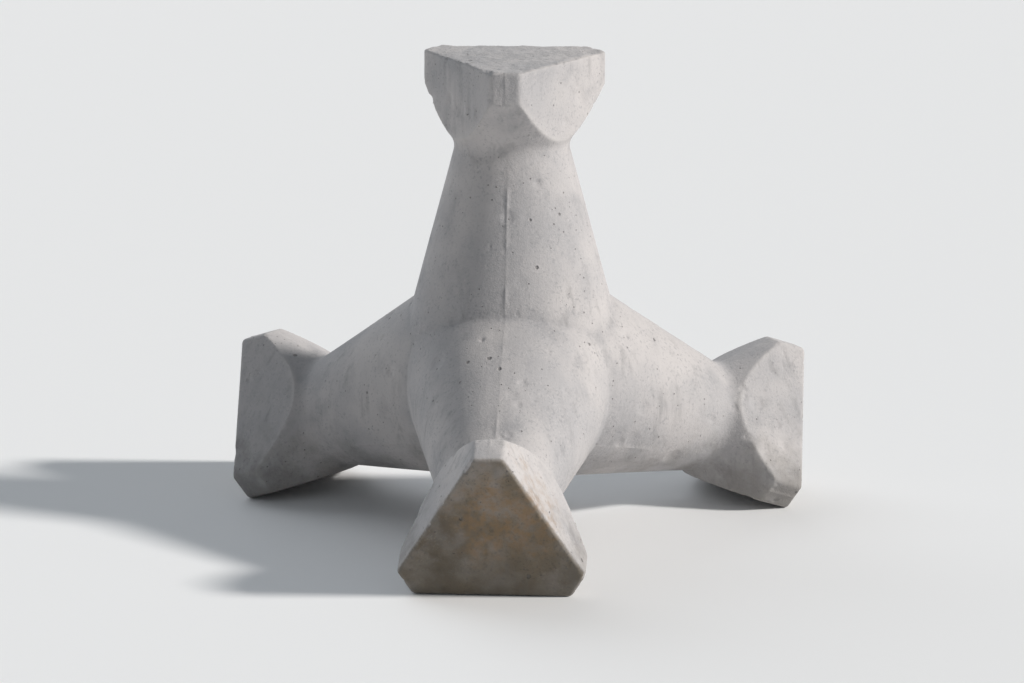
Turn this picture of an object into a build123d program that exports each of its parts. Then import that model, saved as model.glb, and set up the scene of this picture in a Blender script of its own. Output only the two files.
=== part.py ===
"""Concrete armour unit of the tetrapod kind with three-cornered heads, cast in one piece.

Millimetres, +Z up. The origin is the point where the axes of the four legs meet, which is also the
centre of mass. One leg stands straight up and the unit rests on the heads of the other three.
"""
from build123d import *
from math import asin, cos, degrees, radians, sin, sqrt, tan
import os

# Driving dimensions of one leg; the four legs are alike
leg_reach = 1640.0          # from the centre of the unit to the flat end of a head
neck_reach = 1190.0         # from the centre of the unit to the narrowest section of the leg
neck_radius = 292.0         # where the lines of stem and flare would meet
neck_curve_radius = 88.0    # the hollow curve that joins the stem to the head
stem_taper_deg = 15.0       # the round stem widens by this angle towards the centre
flare_deg = 38.0            # the underside of the head opens by this angle away from the neck

# Driving dimensions of the three-cornered head
head_half_width = 320.0     # from the leg's axis to each of the three flat sides
corner_cut_width = 156.0    # width of the flat that cuts off each corner
corner_round_radius = 34.0  # rounding of the upright edges beside each corner flat
end_edge_chamfer = 14.0     # bevel around the flat end

# How the legs spread
lower_leg_azimuths = (0.0, 120.0, 240.0)
lower_leg_dip_deg = degrees(asin(1 / 3))    # below the level, so that all four legs are alike


def lower_leg_axis(azimuth):
    """Unit vector along one of the three legs that the unit stands on."""
    level = cos(radians(lower_leg_dip_deg))
    drop = sin(radians(lower_leg_dip_deg))
    return Vector(level * cos(radians(azimuth)), level * sin(radians(azimuth)), -drop)


def leg_profile():
    """Half section of a leg: the widening stem, the curved neck and the flare under the head."""
    overrun = neck_radius       # past the centre, to be cut away where the legs meet
    root_radius = neck_radius + (neck_reach + overrun) * tan(radians(stem_taper_deg))
    head_length = leg_reach - neck_reach
    flare_radius = neck_radius + head_length * tan(radians(flare_deg))
    with BuildSketch(Plane.XZ) as section:
        with BuildLine():
            Polyline(
                (0, -overrun),
                (root_radius, -overrun),
                (neck_radius, neck_reach),
                (flare_radius, leg_reach),
                (0, leg_reach),
                close=True,
            )
        make_face()
        neck_corner = section.vertices().sort_by_distance((neck_radius, neck_reach))[0]
        fillet(neck_corner, neck_curve_radius)
    return section.sketch


def head_outline():
    """Triangle with its corners cut off, one corner towards the local +X axis."""
    full_side = 2 * sqrt(3) * head_half_width
    point_reach = 2 * head_half_width
    cut_depth = corner_cut_width / 2 * sqrt(3)
    with BuildSketch() as outline:
        RegularPolygon(radius=point_reach, side_count=3)
        with PolarLocations(point_reach - cut_depth + full_side / 2, 3):
            Rectangle(full_side, full_side, mode=Mode.SUBTRACT)
        fillet(outline.vertices(), corner_round_radius)
    return outline.sketch


def head_prism():
    """Straight block of the head's outline, from the neck to the flat end with its bevelled rim."""
    block = extrude(head_outline(), leg_reach - neck_reach)
    end_rim = block.faces().sort_by(Axis.Z)[-1].edges()
    return Pos(0, 0, neck_reach) * chamfer(end_rim, end_edge_chamfer)


def upright_leg():
    """One whole leg along +Z, from the centre of the unit to the flat end of its head."""
    turned = revolve(leg_profile(), Axis.Z)
    stem = split(turned, Plane.XY.offset(neck_reach), keep=Keep.BOTTOM)
    flare = split(turned, Plane.XY.offset(neck_reach), keep=Keep.TOP)
    return stem + (flare & head_prism())


def trimmed_leg(leg, other_axes):
    """The leg cut back to the planes midway between it and its neighbours."""
    for other_axis in other_axes:
        midway = Plane(origin=(0, 0, 0), z_dir=Vector(0, 0, 1) - other_axis)
        leg = split(leg, midway, keep=Keep.TOP)
    return leg


def tetrapod():
    """Four like legs that meet in straight creases, as one solid."""
    other_axes = [lower_leg_axis(azimuth) for azimuth in lower_leg_azimuths]
    leg = trimmed_leg(upright_leg(), other_axes)
    unit = leg
    for azimuth, axis in zip(lower_leg_azimuths, other_axes):
        # local +X of a lower leg points up, so that one corner of its head does and a flat side is down
        up_across = Vector(0, 0, 1) - axis * axis.Z
        unit = unit + Plane(origin=(0, 0, 0), x_dir=up_across, z_dir=axis).location * leg
    return unit


os.makedirs("parts", exist_ok=True)
unit = tetrapod()
export_step(unit, "parts/concrete_tetrapod.step")

print("volume in cubic metres", round(unit.volume / 1e9, 4))
print("standing height in mm", round(unit.bounding_box().size.Z, 1))
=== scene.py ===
"""Looks of a concrete armour unit with four legs and three-cornered heads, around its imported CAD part.

Metres, +Z up, in the frame of the CAD part: the origin is the point where the axes of the four legs meet.
The casting starts as an even fine mesh of the CAD solid. It then gets what a mould and the weather leave on
it: thin ledges and small steps where the four mould shells meet, uneven faces, pits, chipped arrises and a
rough poured end. Last it is lightened, so that the cells stay small only where the form needs them.
"""

from math import cos, radians, sin, sqrt, tan

import bmesh
import bpy
import numpy as np
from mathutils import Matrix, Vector, noise


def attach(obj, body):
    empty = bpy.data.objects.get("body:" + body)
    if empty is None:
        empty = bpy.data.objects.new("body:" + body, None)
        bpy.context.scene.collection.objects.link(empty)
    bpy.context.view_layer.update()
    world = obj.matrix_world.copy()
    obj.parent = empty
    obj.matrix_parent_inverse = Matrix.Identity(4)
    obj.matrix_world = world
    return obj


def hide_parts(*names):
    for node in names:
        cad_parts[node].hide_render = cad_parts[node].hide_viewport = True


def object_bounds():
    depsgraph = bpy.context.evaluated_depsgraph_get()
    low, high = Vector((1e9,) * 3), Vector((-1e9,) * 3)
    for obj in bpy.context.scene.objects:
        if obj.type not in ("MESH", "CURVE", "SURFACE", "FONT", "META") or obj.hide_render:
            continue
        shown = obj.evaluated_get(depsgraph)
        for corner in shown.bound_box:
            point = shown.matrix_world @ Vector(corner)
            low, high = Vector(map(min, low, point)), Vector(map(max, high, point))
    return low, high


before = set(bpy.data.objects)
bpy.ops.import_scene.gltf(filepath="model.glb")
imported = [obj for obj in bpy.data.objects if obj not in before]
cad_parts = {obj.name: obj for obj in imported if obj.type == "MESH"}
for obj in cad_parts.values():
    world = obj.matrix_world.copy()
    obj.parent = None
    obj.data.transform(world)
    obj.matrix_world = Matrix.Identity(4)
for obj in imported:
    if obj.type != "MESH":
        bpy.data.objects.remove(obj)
cad_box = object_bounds()

# Sizes of the unit, as in the CAD part
leg_reach = cad_box[1].z                    # the upright leg ends at the top of the box
floor_height = cad_box[0].z
neck_reach = 1.190
neck_radius = 0.292
flare_deg = 38
head_half_width = 0.320
corner_cut_width = 0.156
corner_flat_reach = 2 * head_half_width - corner_cut_width / 2 * sqrt(3)

# Directions of the four legs: the upright one, then the three that the unit stands on
lower_leg_azimuths = (0, 120, 240)
leg_axes = np.array([(0, 0, 1)] + [
    (sqrt(8) / 3 * cos(radians(azimuth)), sqrt(8) / 3 * sin(radians(azimuth)), -1 / 3)
    for azimuth in lower_leg_azimuths
])
axis_spread = np.linalg.norm(leg_axes[0] - leg_axes[1])

# Mesh of the casting
cell_size = 0.008
most_triangles = 190000

# Iron stains: the leg, how far the stain lies off the middle of that leg's end, and how far it reaches
iron_stains = (
    (3, (0.05, -0.03, 0.12), 0.42),
    (1, (0.0, 0.16, -0.12), 0.30),
    (2, (0.14, 0.0, 0.05), 0.36),
)

# How much each leg's end face is darkened, by dirt and by painted shade: the upright leg, then the three
# lower ones
end_dirt_and_shade = (0.30, 0.40, 0.55, 1.0)

# How far their tones reach: paler wear and painted highlight by a seam or an arris, painted shade by a
# crease
seam_tone_reach = 0.022
arris_tone_reach = 0.024
crease_shade_reach = 0.060

# What the mould leaves
ledge_top_half_width = 0.003
ledge_foot_half_width = 0.008
ledge_rows = (-ledge_foot_half_width, -ledge_top_half_width, ledge_top_half_width, ledge_foot_half_width)
ledge_height = 0.0019
ledge_break_length = 0.20
broken_ledge_share = 0.12                           # of its height, where the ledge has broken off
shell_steps = (0.0009, -0.0008, 0.0003, -0.0011)    # how far each mould shell stands off the true face
wave_height, wave_length = 0.0024, 0.70
ripple_height, ripple_length = 0.0004, 0.10
end_plate_zone = (0.013, 0.008)                     # from the flat end, where the sides go over to it
poured_zone = (0.030, 0.012)                        # the same for the end that was poured
rough_end_drop, rough_end_height, rough_end_lump = 0.004, 0.0055, 0.07

# What the weather and knocks leave
skin_loss = 0.001
pit_depth, pit_spacing, pit_share = 0.006, 0.115, 0.22
large_chip, small_chip = 0.090, 0.035
chip_depth = 0.007
arris_wear_reach, chip_reach = 0.008, 0.024         # to each side of an arris, and how much more at a chip
sound_arris_wear = 0.12                             # next to 1 where it is chipped
crease_zone, crease_softening = (0.004, 0.016), 0.15
smoothing_reach = 0.040
foot_zone = (0.012, 0.050)                          # heights above the floor between which wear sets in
foot_rise = 0.030                                   # height by which the faces are fully uneven

# Camera
camera_azimuth = -26.0
camera_elevation = 13.0
camera_distance = 27.0                      # as far off as the photograph is taken from
camera_lens = 182.0
camera_target = Vector((0.0, 0.0, 0.126))

# Stage and light. A lamp's azimuth is taken from the camera's, and its softness is the angle that it fills.
floor_radius = 90.0
floor_colour = (0.86, 0.86, 0.86, 1)
backdrop_colour = (0.798, 0.807, 0.811, 1)          # meets the lit floor's tone at the horizon
surround_colour, surround_strength = (0.83, 0.915, 1.0, 1), 0.19
key_lamp = {"strength": 3.4, "colour": (1.0, 0.97, 0.935), "azimuth": 77, "elevation": 31, "softness": 7}
back_lamp = {"strength": 1.1, "colour": (0.90, 0.95, 1.0), "azimuth": -145, "elevation": 30, "softness": 60}


# Mesh tools

def coordinates(mesh):
    """The mesh's vertices as rows of x, y, z."""
    values = np.empty(len(mesh.vertices) * 3, np.float32)
    mesh.vertices.foreach_get("co", values)
    return values.reshape(-1, 3).astype(float)


def outward_normals(mesh):
    """The unit normals at the mesh's vertices."""
    values = np.empty(len(mesh.vertices) * 3, np.float32)
    mesh.vertex_normals.foreach_get("vector", values)
    return values.reshape(-1, 3).astype(float)


def place_vertices(mesh, points):
    mesh.vertices.foreach_set("co", np.asarray(points, np.float32).ravel())
    mesh.update()


def store(mesh, name, values):
    """Keeps one number per vertex for the materials to read."""
    attribute = mesh.attributes.new(name, "FLOAT", "POINT")
    attribute.data.foreach_set("value", np.asarray(values, np.float32))


def smooth_step(low, high, values):
    t = np.clip((values - low) / (high - low), 0, 1)
    return t * t * (3 - 2 * t)


def fractal(points, size, octaves, seed):
    """Fractal noise of about -1 to 1 at the points, with features of that size in metres."""
    shift = Vector((seed * 17.3, seed * 5.1, -seed * 9.7))
    return np.array([noise.fractal(Vector(p) / size + shift, 1.0, 2.0, octaves) for p in points])


def round_hollows(points, spacing, share, seed):
    """1 in the middle of each round hollow, falling to 0 at its rim.

    Places for hollows are strewn at about that spacing, and that share of them is used.
    """
    shift = Vector((seed * 3.7, -seed * 11.9, seed * 7.3))
    depth = np.zeros(len(points))
    for number, point in enumerate(points):
        distances, centres = noise.voronoi(Vector(point) / spacing + shift)
        chance = noise.cell(centres[0] * 31.7)
        if chance < share:
            rim = 0.12 + 0.14 * chance / share      # radius in shares of the spacing
            depth[number] = max(0.0, 1 - (distances[0] / rim) ** 2)
    return depth


def neighbours_of(mesh):
    """Function that takes values at the vertices to their means over the vertices that share an edge."""
    ends = np.empty(len(mesh.edges) * 2, np.int32)
    mesh.edges.foreach_get("vertices", ends)
    first, second = ends.reshape(-1, 2).T
    amount = len(mesh.vertices)
    count = np.bincount(first, minlength=amount) + np.bincount(second, minlength=amount)

    def mean(values):
        total = [np.bincount(first, column[second], amount) + np.bincount(second, column[first], amount)
                 for column in values.T]
        return np.array(total).T / count[:, None]
    return mean


# Where a point lies on the unit

def seam_distance(points):
    """Distance from the nearest mould seam, and the number of the mould shell that holds each point.

    A shell covers the hollow between three legs, so a point lies in the shell that is named for the fourth
    leg, the one that it is furthest behind.
    """
    along = points @ leg_axes.T
    order = np.sort(along, axis=1)
    return (order[:, 1] - order[:, 0]) / axis_spread, along.argmin(axis=1)


def crease_distance(points):
    """Distance from the nearest of the creases where two legs meet."""
    order = np.sort(points @ leg_axes.T, axis=1)
    return (order[:, 3] - order[:, 2]) / axis_spread


def arris_distance(points):
    """Distance from the nearest arris of a head: from the second nearest of the head's faces."""
    along = points @ leg_axes.T
    leg = along.argmax(axis=1)
    reach = along.max(axis=1)
    across = points - leg_axes[leg] * reach[:, None]
    radius = np.linalg.norm(across, axis=1)
    depths = [leg_reach - reach]
    flare_radius = neck_radius + (reach - neck_reach) * tan(radians(flare_deg))
    depths.append((flare_radius - radius) * cos(radians(flare_deg)))
    for step in range(1, 4):
        towards = leg_axes[(leg + step) % 4]
        towards = towards - leg_axes[leg] * np.einsum("ij,ij->i", towards, leg_axes[leg])[:, None]
        towards /= np.linalg.norm(towards, axis=1)[:, None]
        corner = np.einsum("ij,ij->i", across, towards)
        depths.append(corner_flat_reach - corner)
        depths.append(head_half_width + corner)
    second = np.sort(np.array(depths), axis=0)[1]
    return np.where(reach > neck_reach, np.maximum(second, 0), 1.0)


# The casting

def fine_copy(node):
    """Even square cells over the CAD solid's surface."""
    unit = bpy.data.objects.new("tetrapod_casting", node.data.copy())
    bpy.context.scene.collection.objects.link(unit)
    unit.data.materials.clear()
    cells = unit.modifiers.new("cells", "REMESH")
    cells.mode = "VOXEL"
    cells.voxel_size = cell_size
    apply_modifiers(unit)
    return unit


def apply_modifiers(unit):
    bpy.context.view_layer.update()
    evaluated = unit.evaluated_get(bpy.context.evaluated_depsgraph_get())
    mesh = bpy.data.meshes.new_from_object(evaluated)
    unit.modifiers.clear()
    unit.data = mesh


def cut_along_seams(mesh):
    """Rows of vertices along each mould seam, for the thin ledge that stands there."""
    bm = bmesh.new()
    bm.from_mesh(mesh)
    for first in range(4):
        for second in range(first + 1, 4):
            others = [leg_axes[number] for number in range(4) if number not in (first, second)]
            across = Vector(leg_axes[first] - leg_axes[second]).normalized()
            towards = Vector(others[0] + others[1])
            near = [face for face in bm.faces if seam_runs_by(face.calc_center_median(), across, towards)]
            parts = near + list(dict.fromkeys(edge for face in near for edge in face.edges))
            parts += list(dict.fromkeys(vertex for face in near for vertex in face.verts))
            for offset in ledge_rows:
                parts = bmesh.ops.bisect_plane(bm, geom=parts, dist=1e-4, plane_co=across * offset,
                                               plane_no=across)["geom"]
    bm.to_mesh(mesh)
    bm.free()


def seam_runs_by(point, across, towards):
    """True beside a seam's own stretch, which is the part of its plane between two legs."""
    if abs(point.dot(across)) > 3 * cell_size:
        return False
    along = np.sort(leg_axes @ np.array(point))
    return point.dot(towards) > 0 and (along[1] - along[0]) / axis_spread < 3 * cell_size


def worn(mesh):
    """Rounds and chips the head's arrises and softens the creases.

    The edges that the unit stands on are left as they are.
    """
    points = coordinates(mesh)
    mean = neighbours_of(mesh)
    off_floor = smooth_step(*foot_zone, points[:, 2] - floor_height)
    to_arris = arris_distance(points)
    to_crease = crease_distance(points)
    near = to_arris < 0.12                      # further off, the costly noise has no use
    chips = np.zeros(len(points))
    chips[near] = (smooth_step(0.25, 0.65, fractal(points[near], large_chip, 3, seed=4))
                   + 0.6 * smooth_step(0.35, 0.8, fractal(points[near], small_chip, 2, seed=5)))
    reach = arris_wear_reach + chip_reach * chips
    strength = sound_arris_wear + (1 - sound_arris_wear) * np.clip(chips, 0, 1)
    wear = strength * (1 - smooth_step(0.25, 1.0, to_arris / reach)) * off_floor
    soft = np.maximum(wear, crease_softening * (1 - smooth_step(*crease_zone, to_crease)))
    rounds = max(3, round(smoothing_reach / cell_size))
    for _ in range(rounds):
        points += (mean(points) - points) * (0.7 * soft)[:, None]
    place_vertices(mesh, points)
    inward = outward_normals(mesh) * (chip_depth * np.clip(chips - 0.2, 0, 1) * wear)[:, None]
    place_vertices(mesh, points - inward)


def uneven(mesh):
    """Moves the faces by what the mould, the pour and the weather leave."""
    points, outward = coordinates(mesh), outward_normals(mesh)
    to_seam, shell = seam_distance(points)
    near_seam = to_seam < 0.03
    broken = np.zeros(len(points))
    broken[near_seam] = smooth_step(-0.05, 0.35, fractal(points[near_seam], ledge_break_length, 3, seed=1))
    at_side = 1 - end_face(points)
    profile = (1 - smooth_step(ledge_top_half_width, ledge_foot_half_width, to_seam)) * at_side
    steps = np.array(shell_steps)[shell] * smooth_step(0, ledge_foot_half_width, to_seam) * at_side
    ledges = ledge_height * profile * (broken_ledge_share + (1 - broken_ledge_share) * broken)
    waves = (wave_height * fractal(points, wave_length, 2, seed=2)
             + ripple_height * fractal(points, ripple_length, 3, seed=3))
    pits = pit_depth * round_hollows(points, pit_spacing, pit_share, seed=1)
    move = ledges + steps + waves - pits - skin_loss
    poured = poured_end(points, outward)
    rough = poured > 0.01
    lumps = rough_end_height * fractal(points[rough], rough_end_lump, 4, seed=6)
    move[rough] -= poured[rough] * (rough_end_drop + lumps)
    move *= smooth_step(0.0, foot_rise, points[:, 2] - floor_height)
    place_vertices(mesh, kept_in_box(points + outward * move[:, None]))


def kept_in_box(points):
    """The points, with none outside the CAD solid's box."""
    return np.clip(points, np.array(cad_box[0]), np.array(cad_box[1]))


def end_face(points):
    """1 on the flat ends of the legs, where the mould has separate plates or is open."""
    start, full = end_plate_zone
    return smooth_step(leg_reach - start, leg_reach - full, (points @ leg_axes.T).max(axis=1))


def poured_end(points, outward):
    """1 on the flat top of the upright leg, where the mould was open and the concrete went in."""
    start, full = poured_zone
    near_top = smooth_step(leg_reach - start, leg_reach - full, points[:, 2])
    return near_top * smooth_step(0.6, 0.9, outward[:, 2])


def lightened(unit):
    """Fewer, larger cells where the faces are even."""
    triangles = sum(len(face.vertices) - 2 for face in unit.data.polygons)
    if triangles > most_triangles:
        lighter = unit.modifiers.new("lighter", "DECIMATE")
        lighter.ratio = most_triangles / triangles
        apply_modifiers(unit)
        place_vertices(unit.data, kept_in_box(coordinates(unit.data)))


def mark_surface(mesh):
    """Keeps where the seams, arrises, creases and ends with dirt and painted shade are, for the materials.
    """
    points, outward = coordinates(mesh), outward_normals(mesh)
    to_seam, _ = seam_distance(points)
    ends = end_face(points)
    leg = (points @ leg_axes.T).argmax(axis=1)
    store(mesh, "seam", (1 - smooth_step(0.0, seam_tone_reach, to_seam)) * (1 - ends))
    store(mesh, "arris", 1 - smooth_step(0.0, arris_tone_reach, arris_distance(points)))
    store(mesh, "crease", 1 - smooth_step(0.0, crease_shade_reach, crease_distance(points)))
    store(mesh, "end_dirt_and_shade", ends * np.array(end_dirt_and_shade)[leg])
    poured = poured_end(points, outward) > 0.5
    for face in mesh.polygons:
        face.material_index = int(all(poured[number] for number in face.vertices))


def casting():
    unit = fine_copy(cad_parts["concrete_tetrapod"])
    cut_along_seams(unit.data)
    worn(unit.data)
    uneven(unit.data)
    lightened(unit)
    mark_surface(unit.data)
    unit.data.shade_smooth()
    makers = (mottling, blow_holes, run_marks, foot_grime, iron_stain, grain)
    effects = {maker.__name__: maker() for maker in makers}
    unit.data.materials.append(formed_concrete(effects))
    unit.data.materials.append(poured_concrete(effects))
    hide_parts("concrete_tetrapod")
    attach(unit, "root")


# Node tools

def add(tree, kind, inputs=None, **settings):
    """A node with those settings. An input is a value, or another node's output to link from."""
    node = tree.nodes.new(kind)
    for name, value in settings.items():
        setattr(node, name, value)
    for name, value in (inputs or {}).items():
        if isinstance(value, bpy.types.NodeSocket):
            tree.links.new(value, node.inputs[name])
        else:
            node.inputs[name].default_value = value
    return node


def calc(tree, operation, first, second=0.0):
    """Result of one step of arithmetic. First and second are values, or other nodes' outputs."""
    return add(tree, "ShaderNodeMath", {0: first, 1: second}, operation=operation).outputs[0]


def ramp(tree, value, low, high, to_low=0.0, to_high=1.0):
    """Smooth change from to_low to to_high as the value goes from low to high."""
    node = add(tree, "ShaderNodeMapRange", {"Value": value, "From Min": low, "From Max": high,
                                            "To Min": to_low, "To Max": to_high},
               interpolation_type="SMOOTHSTEP")
    return node.outputs["Result"]


def mix(tree, factor, first, second):
    """First colour going over to the second one as the factor goes from 0 to 1."""
    node = add(tree, "ShaderNodeMix", data_type="RGBA")
    for socket, value in ((node.inputs[0], factor), (node.inputs[6], first), (node.inputs[7], second)):
        if isinstance(value, bpy.types.NodeSocket):
            tree.links.new(value, socket)
        else:
            socket.default_value = value
    return node.outputs[2]


def texture(tree, size, detail=4.0, roughness=0.55, seed=0.0):
    """Noise from 0 to 1 with features of that size in metres. The seed shifts it."""
    shift = (seed, -seed, seed / 2)
    shifted = add(tree, "ShaderNodeMapping", {"Vector": object_place(tree), "Location": shift})
    return noise_at(tree, shifted.outputs[0], 1 / size, detail, roughness)


def noise_at(tree, place, scale, detail, roughness):
    """Noise from 0 to 1 at the place, with that many features to the metre."""
    node = add(tree, "ShaderNodeTexNoise", {"Vector": place, "Scale": scale, "Detail": detail,
                                            "Roughness": roughness})
    return node.outputs["Fac"]


def object_place(tree):
    return add(tree, "ShaderNodeTexCoord").outputs["Object"]


def new_group(name, inputs, outputs):
    """Empty node group. Inputs are (name, kind, value) and outputs (name, kind)."""
    tree = bpy.data.node_groups.new(name, "ShaderNodeTree")
    for label, kind, value in inputs:
        socket = tree.interface.new_socket(label, in_out="INPUT", socket_type="NodeSocket" + kind)
        socket.default_value = value
    for label, kind in outputs:
        tree.interface.new_socket(label, in_out="OUTPUT", socket_type="NodeSocket" + kind)
    return tree, tree.nodes.new("NodeGroupInput").outputs, tree.nodes.new("NodeGroupOutput").inputs


def use(tree, group, **inputs):
    """Outputs of a group placed in the tree. Inputs are named with _ for a space."""
    node = add(tree, "ShaderNodeGroup", node_tree=group)
    for name, value in inputs.items():
        socket = node.inputs[name.replace("_", " ")]
        if isinstance(value, bpy.types.NodeSocket):
            tree.links.new(value, socket)
        else:
            socket.default_value = value
    return node.outputs


# Effects that the finishes are made of

def mottling():
    """Cloudy tones of set concrete, with sand and cement showing as specks."""
    tree, given, out = new_group(
        "mottling",
        [("Pale", "Color", (0.6, 0.6, 0.6, 1)), ("Grey", "Color", (0.4, 0.4, 0.4, 1)),
         ("Dark", "Color", (0.3, 0.3, 0.3, 1)), ("Specks", "Float", 0.3)],
        [("Color", "Color")])
    clouds = texture(tree, 0.60, detail=3.0, roughness=0.55)
    patches = texture(tree, 0.22, detail=5.0, roughness=0.60, seed=3.1)
    tone = mix(tree, ramp(tree, clouds, 0.34, 0.64), given["Grey"], given["Pale"])
    tone = mix(tree, ramp(tree, patches, 0.48, 0.80, 0.0, 0.50), tone, given["Dark"])
    light_specks = texture(tree, 0.012, detail=1.0, roughness=0.5, seed=7.7)
    dark_specks = texture(tree, 0.015, detail=1.0, roughness=0.5, seed=2.9)
    where = ramp(tree, texture(tree, 0.13, detail=3.0, seed=4.4), 0.35, 0.65, 0.35, 1.0)
    strength = calc(tree, "MULTIPLY", where, given["Specks"])
    light_share = calc(tree, "MULTIPLY", ramp(tree, light_specks, 0.52, 0.70), strength)
    dark_share = calc(tree, "MULTIPLY", ramp(tree, dark_specks, 0.54, 0.72), strength)
    tone = mix(tree, dark_share, mix(tree, light_share, tone, given["Pale"]), given["Dark"])
    tree.links.new(tone, out["Color"])
    return tree


def blow_holes():
    """Small round holes that air bubbles leave at the mould's face."""
    tree, given, out = new_group("blow_holes", [("Spacing", "Float", 0.05), ("Share", "Float", 0.5)],
                                 [("Mask", "Float"), ("Height", "Float")])
    scale = calc(tree, "DIVIDE", 1.0, given["Spacing"])
    cells = add(tree, "ShaderNodeTexVoronoi", {"Vector": object_place(tree), "Scale": scale})
    chance = add(tree, "ShaderNodeSeparateColor", {"Color": cells.outputs["Color"]})
    crowd = ramp(tree, texture(tree, 0.35, detail=2.0, seed=3.3), 0.38, 0.62, 0.15, 1.0)
    kept = calc(tree, "LESS_THAN", chance.outputs["Red"], calc(tree, "MULTIPLY", crowd, given["Share"]))
    rim = ramp(tree, chance.outputs["Green"], 0.2, 1.0, 0.05, 0.19)
    inside = calc(tree, "SUBTRACT", 1.0, calc(tree, "DIVIDE", cells.outputs["Distance"], rim))
    hole = calc(tree, "MULTIPLY", kept, ramp(tree, inside, 0.0, 0.45))
    tree.links.new(hole, out["Mask"])
    tree.links.new(calc(tree, "MULTIPLY", hole, -1.0), out["Height"])
    return tree


def run_marks():
    """Dark streaks where rain runs down steep faces."""
    tree, given, out = new_group("run_marks", [("Width", "Float", 0.05)], [("Mask", "Float")])
    stretched = add(tree, "ShaderNodeMapping", {"Vector": object_place(tree), "Scale": (1.0, 1.0, 0.10)})
    scale = calc(tree, "DIVIDE", 1.0, given["Width"])
    streaks = noise_at(tree, stretched.outputs[0], scale, 4.0, 0.6)
    where = texture(tree, 0.45, detail=2.0, seed=9.1)
    facing = add(tree, "ShaderNodeNewGeometry").outputs["Normal"]
    up = add(tree, "ShaderNodeSeparateXYZ", {0: facing}).outputs["Z"]
    steep = ramp(tree, calc(tree, "ABSOLUTE", up), 0.55, 0.85, 1.0, 0.0)
    mask = calc(tree, "MULTIPLY", ramp(tree, streaks, 0.50, 0.70), ramp(tree, where, 0.42, 0.60))
    tree.links.new(calc(tree, "MULTIPLY", mask, steep), out["Mask"])
    return tree


def foot_grime():
    """Dark dirt that climbs from the ground in patches."""
    tree, given, out = new_group("foot_grime", [("Reach", "Float", 0.6)], [("Mask", "Float")])
    height = add(tree, "ShaderNodeSeparateXYZ", {0: object_place(tree)}).outputs["Z"]
    climb = calc(tree, "DIVIDE", calc(tree, "SUBTRACT", height, floor_height), given["Reach"])
    patches = texture(tree, 0.20, detail=6.0, roughness=0.65, seed=2.2)
    level = calc(tree, "SUBTRACT", calc(tree, "MULTIPLY", patches, 1.6), climb)
    tree.links.new(ramp(tree, level, 0.15, 0.85), out["Mask"])
    return tree


def iron_stain():
    """Ochre stain around a point, in broken patches."""
    tree, given, out = new_group("iron_stain", [("Centre", "Vector", (0, 0, 0)), ("Reach", "Float", 0.3)],
                                 [("Mask", "Float")])
    ends = {0: object_place(tree), 1: given["Centre"]}
    apart = add(tree, "ShaderNodeVectorMath", ends, operation="DISTANCE").outputs["Value"]
    share = calc(tree, "SUBTRACT", 1.0, calc(tree, "DIVIDE", apart, given["Reach"]))
    patches = texture(tree, 0.11, detail=5.0, roughness=0.6, seed=6.4)
    both = calc(tree, "ADD", calc(tree, "MULTIPLY", share, 0.9), calc(tree, "SUBTRACT", patches, 0.5))
    tree.links.new(ramp(tree, both, 0.15, 0.60), out["Mask"])
    return tree


def grain():
    """Sandy grain of weathered cement skin, as a height."""
    tree, given, out = new_group("grain", [("Size", "Float", 0.02)], [("Height", "Float")])
    place = object_place(tree)
    scale = calc(tree, "DIVIDE", 1.0, given["Size"])
    coarse = noise_at(tree, place, scale, 5.0, 0.65)
    fine = noise_at(tree, place, calc(tree, "MULTIPLY", scale, 3.7), 2.0, 0.5)
    tree.links.new(calc(tree, "ADD", coarse, calc(tree, "MULTIPLY", fine, 0.5)), out["Height"])
    return tree


# Finishes

pale_skin = (0.550, 0.522, 0.512, 1)
grey_skin = (0.430, 0.418, 0.422, 1)
dark_skin = (0.245, 0.246, 0.260, 1)
worn_edge_and_highlight = (0.580, 0.555, 0.538, 1)
# Dirt tones, which on the ends of the legs also stand for painted shade
old_dirt_and_shade = (0.125, 0.112, 0.090, 1)
end_tone_dirt_and_shade = (0.195, 0.160, 0.118, 1)
end_shade = (0.132, 0.108, 0.080, 1)
ochre = (0.30, 0.185, 0.090, 1)
run_shade = (0.21, 0.205, 0.205, 1)
hole_shade = (0.115, 0.11, 0.105, 1)
poured_pale = (0.515, 0.490, 0.482, 1)
poured_grey = (0.405, 0.395, 0.398, 1)
poured_dark = (0.275, 0.272, 0.280, 1)


def share_of(tree, mask, low, high, spread=0.09, seed=8.2):
    """The mask times a share that wanders between low and high over the surface."""
    wander = texture(tree, spread, detail=4.0, seed=seed)
    return calc(tree, "MULTIPLY", mask, ramp(tree, wander, 0.35, 0.65, low, high))


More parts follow.
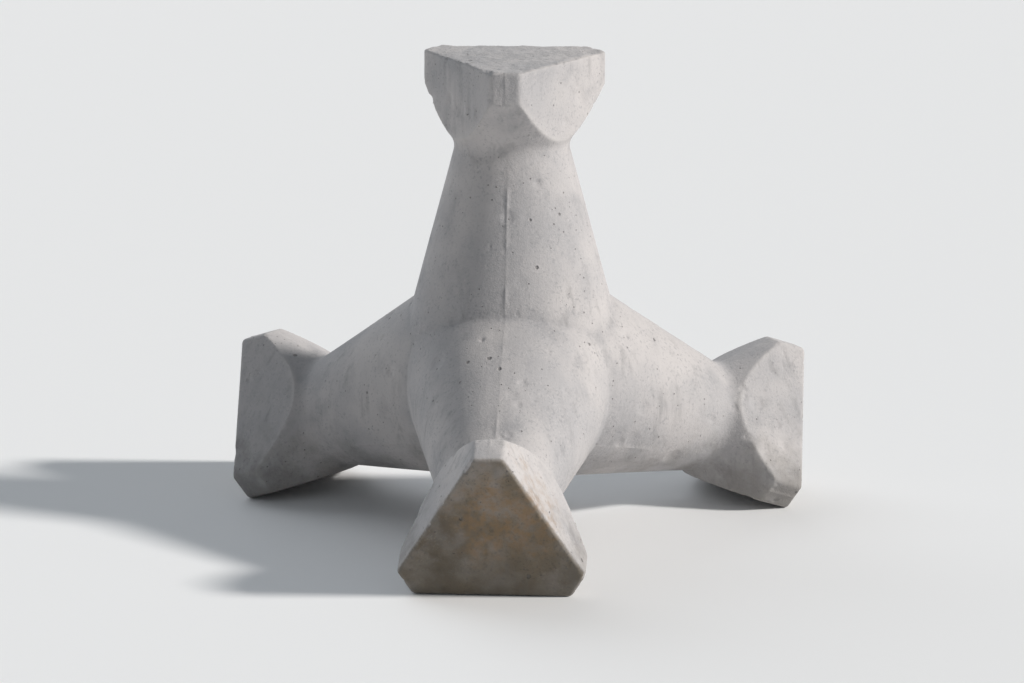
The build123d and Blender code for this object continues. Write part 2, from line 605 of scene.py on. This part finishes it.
def formed_concrete(effects):
    """Concrete cast against the mould, weathered outdoors."""
    material = bpy.data.materials.new("formed_concrete")
    material.use_nodes = True
    tree = material.node_tree
    mark = {name: add(tree, "ShaderNodeAttribute", attribute_name=name).outputs["Fac"]
            for name in ("seam", "arris", "crease", "end_dirt_and_shade")}
    mottled = effects["mottling"]
    colour = use(tree, mottled, Pale=pale_skin, Grey=grey_skin, Dark=dark_skin, Specks=0.40)["Color"]
    # Dirt and painted shade: the ends of the legs go over to a darker, browner tone, most of all on the
    # fourth leg's end
    dirt = use(tree, mottled, Pale=end_tone_dirt_and_shade, Grey=end_shade, Dark=old_dirt_and_shade, Specks=0.90)["Color"]
    colour = mix(tree, share_of(tree, mark["end_dirt_and_shade"], 0.70, 1.0, spread=0.16), colour, dirt)
    runs = use(tree, effects["run_marks"], Width=0.05)["Mask"]
    colour = mix(tree, calc(tree, "MULTIPLY", runs, 0.34), colour, run_shade)
    # Painted shade: the creases where two legs meet are darkened towards the dark tone
    colour = mix(tree, share_of(tree, mark["crease"], 0.24, 0.0), colour, dark_skin)
    # Paler seams and arrises: worn concrete, with a painted highlight along the edges
    colour = mix(tree, share_of(tree, mark["seam"], 0.0, 0.28), colour, worn_edge_and_highlight)
    colour = mix(tree, share_of(tree, mark["arris"], 0.10, 0.60), colour, worn_edge_and_highlight)
    for leg, offset, reach in iron_stains:
        centre = leg_axes[leg] * leg_reach + np.array(offset)
        stain = use(tree, effects["iron_stain"], Centre=tuple(centre), Reach=reach)["Mask"]
        colour = mix(tree, share_of(tree, stain, 0.10, 0.62, spread=0.04, seed=1.3), colour, ochre)
    grime = use(tree, effects["foot_grime"], Reach=0.75)["Mask"]
    colour = mix(tree, calc(tree, "MULTIPLY", grime, 0.50), colour, old_dirt_and_shade)
    return finished(material, effects, colour, hole_share=0.75, grain_size=0.024, grain_depth=0.0035)


def poured_concrete(effects):
    """The open end where the concrete went in, struck off by hand and rougher."""
    material = bpy.data.materials.new("poured_concrete")
    material.use_nodes = True
    tree = material.node_tree
    colour = use(tree, effects["mottling"], Pale=poured_pale, Grey=poured_grey, Dark=poured_dark,
                 Specks=0.70)["Color"]
    arris = add(tree, "ShaderNodeAttribute", attribute_name="arris").outputs["Fac"]
    # Paler arrises: worn concrete, with a painted highlight along the edges
    colour = mix(tree, share_of(tree, arris, 0.05, 0.45), colour, worn_edge_and_highlight)
    return finished(material, effects, colour, hole_share=0.9, grain_size=0.034, grain_depth=0.006)


def finished(material, effects, colour, hole_share, grain_size, grain_depth):
    """Adds the holes and the grain to a concrete and joins it up to its shader."""
    tree = material.node_tree
    shader = tree.nodes["Principled BSDF"]
    large = use(tree, effects["blow_holes"], Spacing=0.085, Share=0.36 * hole_share)
    small = use(tree, effects["blow_holes"], Spacing=0.032, Share=hole_share)
    mask = calc(tree, "MAXIMUM", large["Mask"], small["Mask"])
    colour = mix(tree, calc(tree, "MULTIPLY", mask, 0.62), colour, hole_shade)
    tree.links.new(colour, shader.inputs["Base Color"])
    roughness = ramp(tree, texture(tree, 0.09, detail=4.0, seed=8.2), 0.3, 0.7, 0.84, 0.96)
    tree.links.new(roughness, shader.inputs["Roughness"])
    shader.inputs["Specular IOR Level"].default_value = 0.35
    sand = use(tree, effects["grain"], Size=grain_size)["Height"]
    depth = calc(tree, "ADD", calc(tree, "MULTIPLY", large["Height"], 2.5), small["Height"])
    height = calc(tree, "ADD", sand, depth)
    bump = add(tree, "ShaderNodeBump", {"Height": height, "Strength": 0.9, "Distance": grain_depth})
    tree.links.new(bump.outputs["Normal"], shader.inputs["Normal"])
    return material


def pale_floor():
    material = bpy.data.materials.new("pale_floor")
    material.use_nodes = True
    shader = material.node_tree.nodes["Principled BSDF"]
    shader.inputs["Base Color"].default_value = floor_colour
    shader.inputs["Roughness"].default_value = 0.9
    return material


# Stage, light and camera

def studio_floor():
    mesh = bpy.data.meshes.new("studio_floor")
    bm = bmesh.new()
    bmesh.ops.create_circle(bm, cap_ends=True, segments=96, radius=floor_radius)
    bm.to_mesh(mesh)
    bm.free()
    floor = bpy.data.objects.new("studio_floor", mesh)
    floor.location.z = floor_height
    bpy.context.scene.collection.objects.link(floor)
    mesh.materials.append(pale_floor())


def direction(azimuth, elevation):
    """Unit vector from the unit towards that side. Azimuth 0 is -Y and 90 is +X."""
    a, e = radians(azimuth), radians(elevation)
    return Vector((sin(a) * cos(e), -cos(a) * cos(e), sin(e)))


def soft_sun(name, strength, colour, azimuth, elevation, softness):
    """A soft lamp that shines from that side of the camera."""
    lamp = bpy.data.lights.new(name, "SUN")
    lamp.energy = strength
    lamp.color = colour
    lamp.angle = radians(softness)
    body = bpy.data.objects.new(name, lamp)
    body.rotation_mode = "QUATERNION"
    body.rotation_quaternion = direction(camera_azimuth + azimuth, elevation).to_track_quat("Z", "Y")
    bpy.context.scene.collection.objects.link(body)


def studio_world():
    """Soft even light from all round, and a pale backdrop where the floor ends."""
    world = bpy.data.worlds.new("studio")
    world.use_nodes = True
    tree = world.node_tree
    light = tree.nodes["Background"]
    light.inputs["Color"].default_value = surround_colour
    light.inputs["Strength"].default_value = surround_strength
    backdrop = add(tree, "ShaderNodeBackground", {"Color": backdrop_colour, "Strength": 1.0})
    ray = add(tree, "ShaderNodeLightPath").outputs
    seen = calc(tree, "MAXIMUM", ray["Is Glossy Ray"], ray["Is Transmission Ray"])
    seen = calc(tree, "MAXIMUM", ray["Is Camera Ray"], seen)
    both = add(tree, "ShaderNodeMixShader", {0: seen, 1: light.outputs[0], 2: backdrop.outputs[0]})
    tree.links.new(both.outputs[0], tree.nodes["World Output"].inputs["Surface"])
    bpy.context.scene.world = world


def camera():
    data = bpy.data.cameras.new("camera")
    data.lens = camera_lens
    data.sensor_width = 36
    data.clip_end = 400
    body = bpy.data.objects.new("camera", data)
    back = direction(camera_azimuth, camera_elevation)
    body.location = camera_target + back * camera_distance
    body.rotation_mode = "QUATERNION"
    body.rotation_quaternion = back.to_track_quat("Z", "Y")
    bpy.context.scene.collection.objects.link(body)
    bpy.context.scene.camera = body


casting()
studio_floor()
studio_world()
soft_sun("key", **key_lamp)
soft_sun("back", **back_lamp)
camera()
bpy.context.scene.view_settings.view_transform = "Standard"
